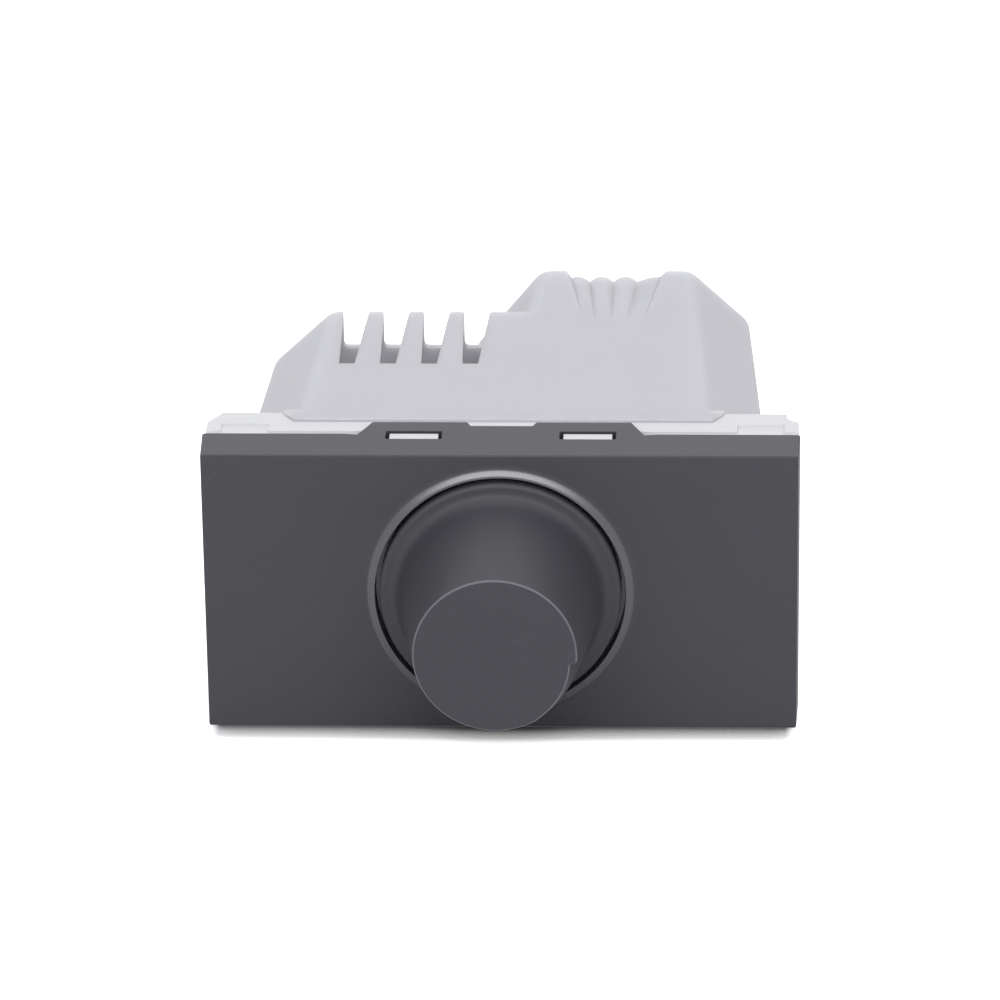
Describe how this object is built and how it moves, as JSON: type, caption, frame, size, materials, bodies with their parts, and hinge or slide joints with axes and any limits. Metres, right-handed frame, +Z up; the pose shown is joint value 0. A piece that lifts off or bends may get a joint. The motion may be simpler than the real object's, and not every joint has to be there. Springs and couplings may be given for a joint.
{
  "type": "rotary dimmer module",
  "caption": "Snap-in rotary light dimmer module: dark face with a flared turning knob, pale chassis and slotted rear housing with screw terminals.",
  "frame": {"origin": "under the middle of the whole module, on the plane that it lies on", "axes": "+X to the right along the face's long side as seen from the front, +Y from the face to the terminals, +Z up"},
  "size_m": [0.0454, 0.052, 0.0225],
  "materials": {
    "cover_plastic": "satin, finely grained",
    "case_plastic": "matt",
    "chassis_plastic": "matt",
    "natural_plastic": "satin",
    "steel": "zinc plated",
    "brass": "plain",
    "tinned": "tinned",
    "phenolic": "satin",
    "board": "satin lacquer",
    "black_component": "matt",
    "aluminium": "bare",
    "ferrite": "matt",
    "copper": "lacquered",
    "blue_component": "gloss",
    "yellow_component": "gloss",
    "green_component": "gloss",
    "tan_component": "gloss"
  },
  "bodies": {
    "module": {"front_cover": "cover_plastic", "chassis": "chassis_plastic", "rear_housing": "case_plastic", "pot_body": "steel", "pot_bush": "brass", "pot_washer": "steel", "pot_nut": "brass", "pot_track": "phenolic", "pot_pins": "tinned", "circuit_board": "board", "triac": "black_component", "heat_sink": "aluminium", "triac_screw": "steel", "choke_core": "ferrite", "choke_winding": "copper", "suppression_capacitor": "yellow_component", "timing_capacitor": "green_component", "fuse": "blue_component", "resistors": "tan_component", "diac": "blue_component", "terminal_carrier": "natural_plastic", "terminal_bar_left": "brass", "terminal_bar_right": "brass"},
    "rotor": {"knob": "cover_plastic", "knob_clip": "steel", "pot_shaft": "natural_plastic", "pot_wiper": "natural_plastic"},
    "screw_left": {"clamp_screw_left": "steel"},
    "screw_right": {"clamp_screw_right": "steel"},
    "cage_left": {"terminal_cage_left": "steel"},
    "cage_right": {"terminal_cage_right": "steel"}
  },
  "joints": [
    {"name": "knob_turn", "type": "hinge", "parent": "module", "child": "rotor", "pos_m": [0, -0.0144, 0.01125], "axis": [0, 1, 0], "range_deg": [-230, 40]},
    {"name": "clamp_screw_left_turn", "type": "hinge", "parent": "module", "child": "screw_left", "pos_m": [0.0051, 0.0206, 0.006], "axis": [0, 0, 1], "range_deg": [0, 1800]},
    {"name": "clamp_screw_right_turn", "type": "hinge", "parent": "module", "child": "screw_right", "pos_m": [0.0109, 0.0206, 0.006], "axis": [0, 0, 1], "range_deg": [0, 1800]},
    {"name": "cage_left_slide", "type": "slide", "parent": "module", "child": "cage_left", "axis": [0, 0, -1], "range_m": [0, 0.0025]},
    {"name": "cage_right_slide", "type": "slide", "parent": "module", "child": "cage_right", "axis": [0, 0, -1], "range_m": [0, 0.0025]}
  ],
  "couplings": [
    {"joint": "cage_left_slide", "follows": "clamp_screw_left_turn", "m_per_rad": 0.00007957},
    {"joint": "cage_right_slide", "follows": "clamp_screw_right_turn", "m_per_rad": 0.00007957}
  ]
}
